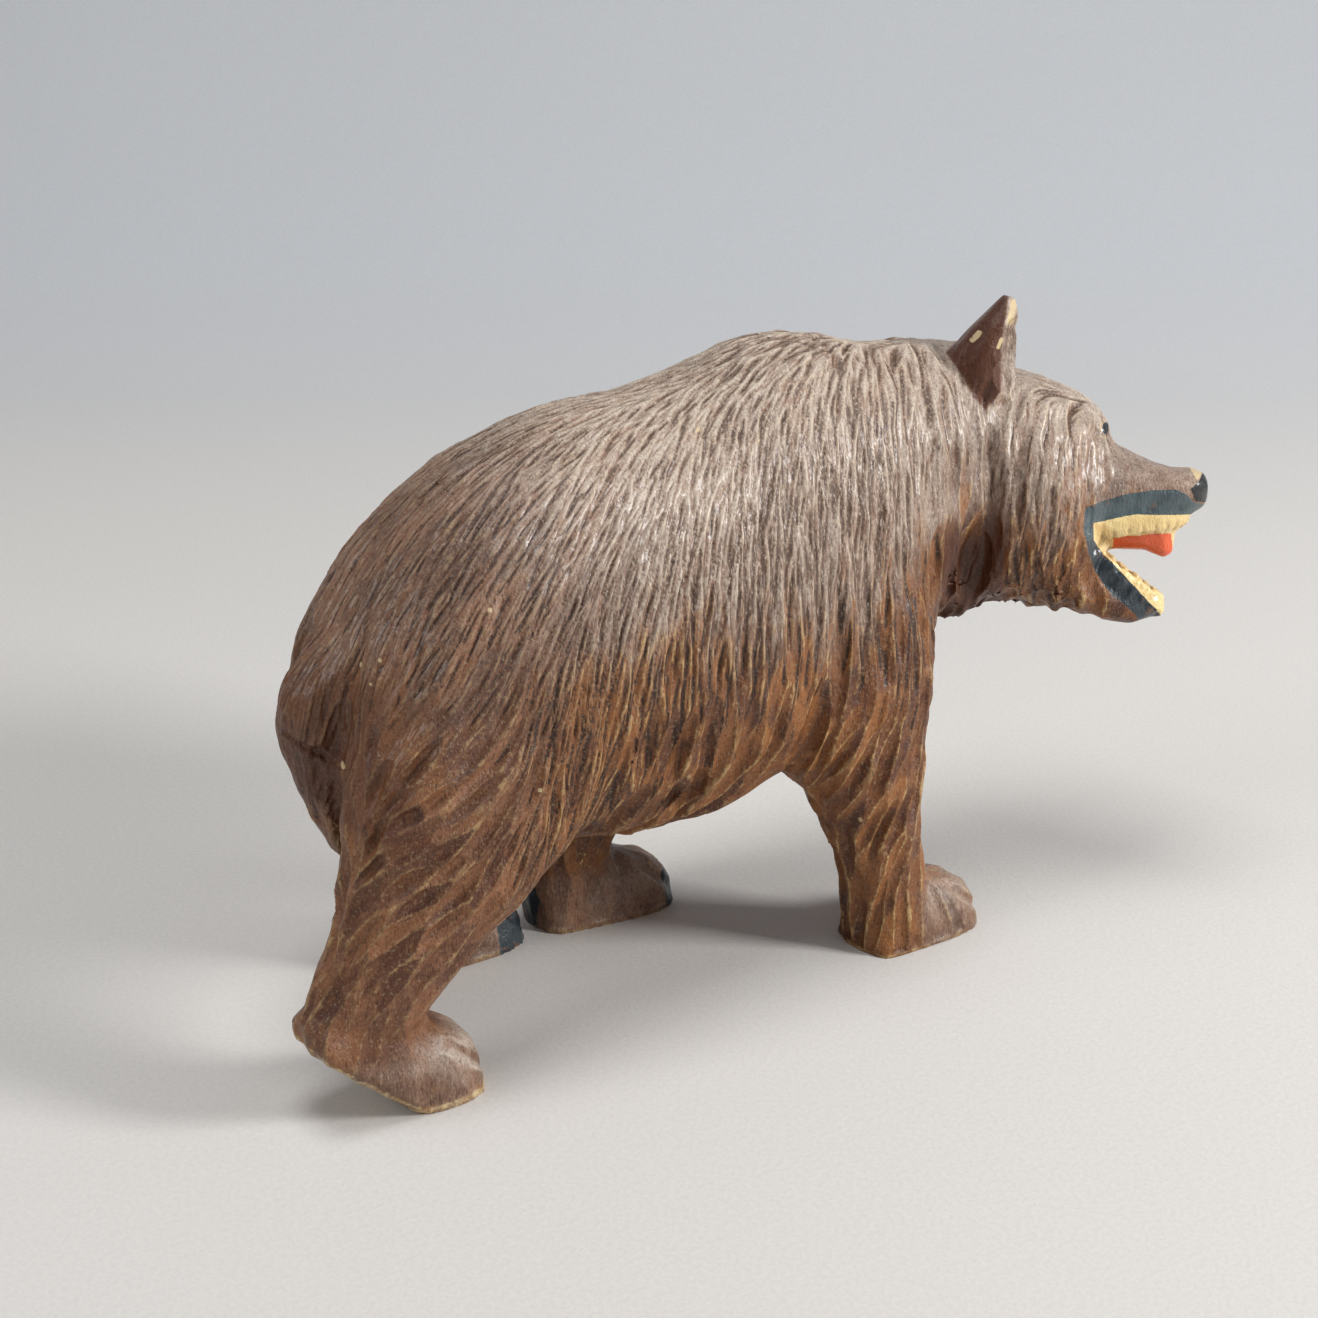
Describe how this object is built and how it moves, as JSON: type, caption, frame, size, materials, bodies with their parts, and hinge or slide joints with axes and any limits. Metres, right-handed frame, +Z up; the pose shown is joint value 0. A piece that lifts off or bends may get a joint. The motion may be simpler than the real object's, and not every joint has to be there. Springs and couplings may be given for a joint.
{
  "type": "carved bear figure",
  "caption": "Walking bear carved from solid stained wood, with gouged fur, pointed ears, its head turned to its right and its painted mouth open.",
  "frame": {"origin": "middle of the bear's box in X and Y, on the floor under its feet", "axes": "+X the way the bear walks, +Y towards its left side, +Z up"},
  "size_m": [0.2248, 0.0764, 0.1414],
  "materials": {
    "stained_wood": "brown stain and thin varnish over gouged wood, worn on the ridges, with a painted mouth, teeth, eyes and nose"
  },
  "bodies": {
    "root": {"bear": "stained_wood"}
  },
  "joints": []
}
